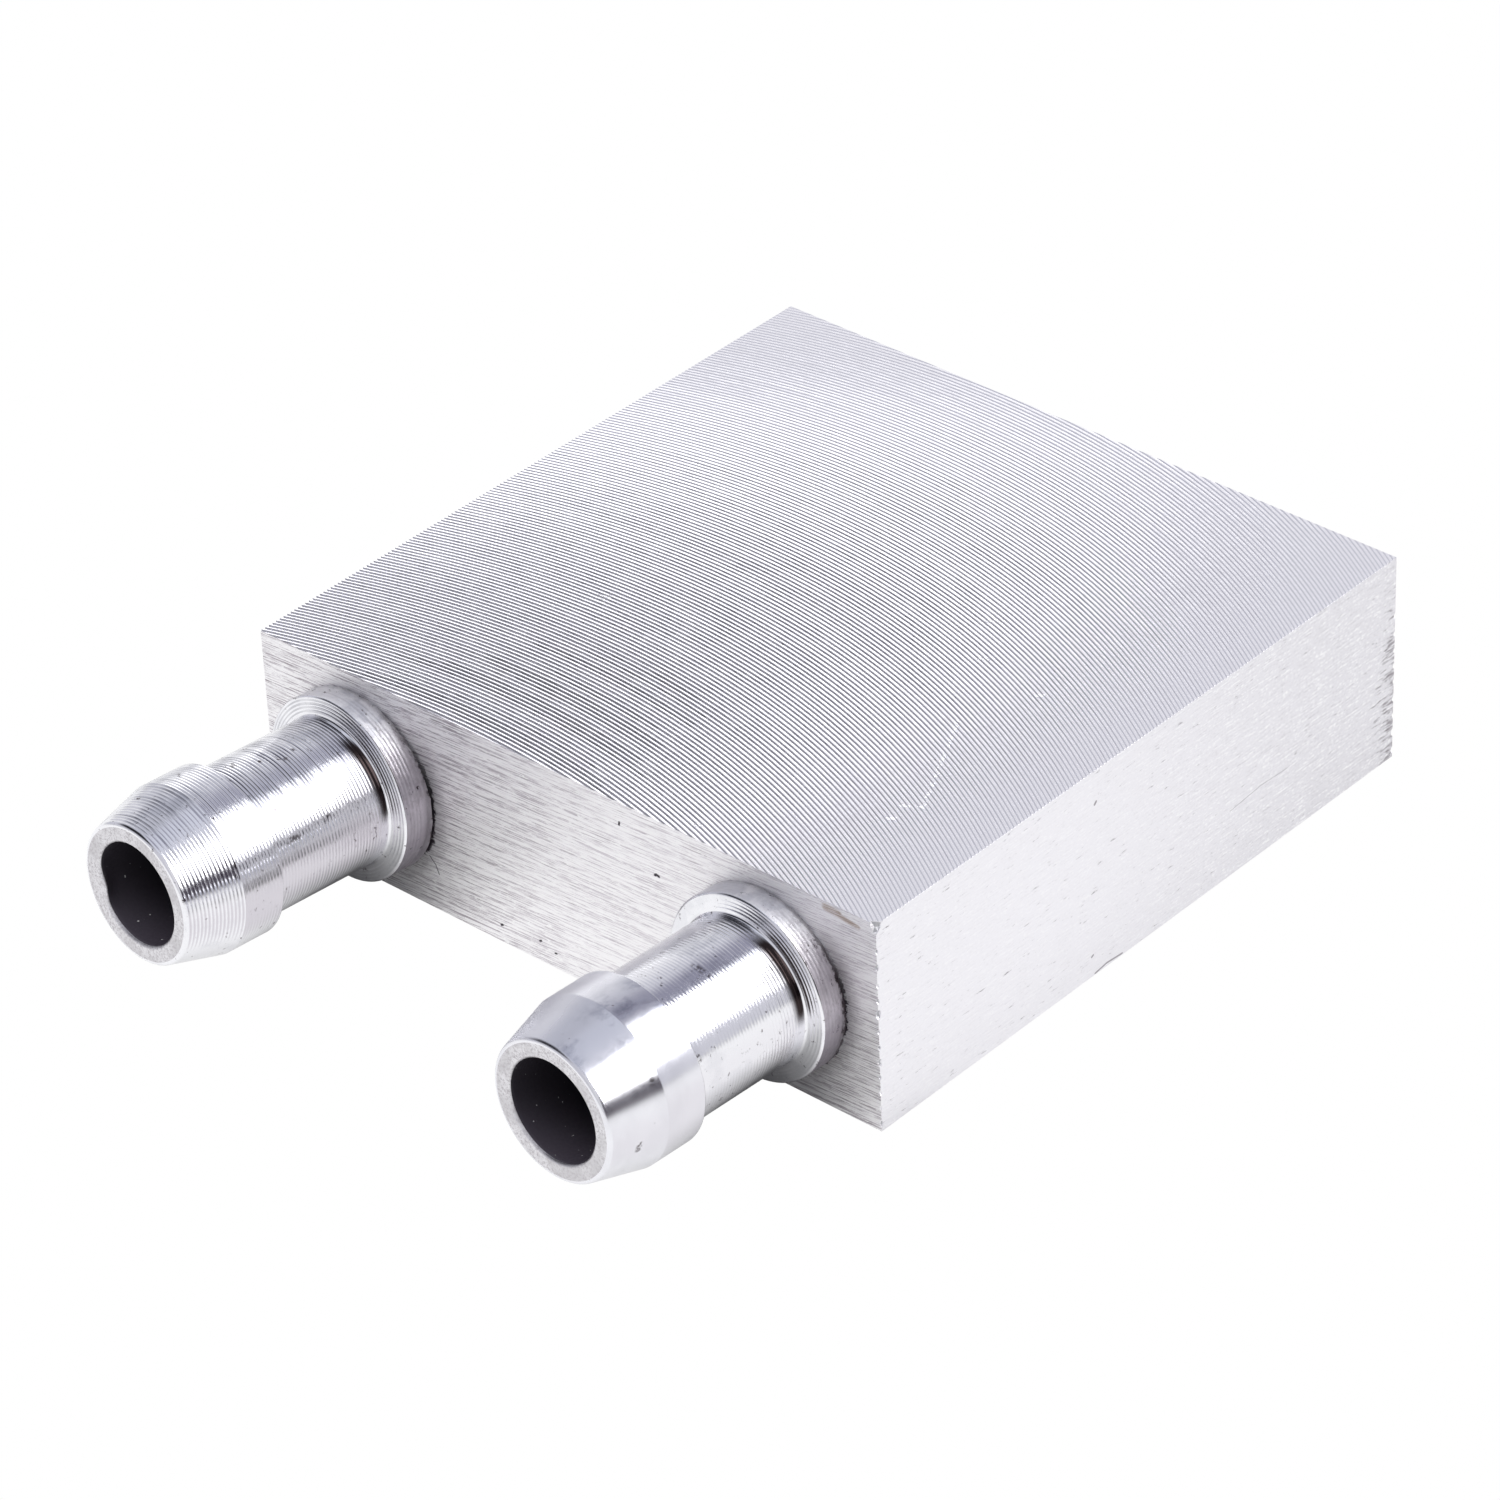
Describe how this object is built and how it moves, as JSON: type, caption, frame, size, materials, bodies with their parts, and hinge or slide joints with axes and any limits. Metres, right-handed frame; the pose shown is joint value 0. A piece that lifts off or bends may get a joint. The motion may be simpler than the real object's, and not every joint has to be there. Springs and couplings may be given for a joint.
{
  "type": "liquid cooling cold plate",
  "caption": "Square aluminium liquid cooling plate with a fly-cut contact face, a winding inner channel and turned hose barbs side by side in one edge.",
  "frame": {"origin": "centre of the underside, which the plate rests on", "axes": "+Z from the underside to the machined contact face; the hose barbs point towards -Y; +X along the front face from the inlet to the outlet"},
  "size_m": [0.04, 0.0549, 0.012],
  "materials": {
    "block_aluminium": "fly-cut top, linished sides",
    "cover_aluminium": "milled satin",
    "barb_aluminium": "turned bright with fine rings",
    "sealant": "matt"
  },
  "bodies": {
    "root": {"channel_block": "block_aluminium", "cover_plate": "cover_aluminium", "inlet_barb": "barb_aluminium", "outlet_barb": "barb_aluminium", "inlet_seal": "sealant", "outlet_seal": "sealant"}
  },
  "joints": []
}
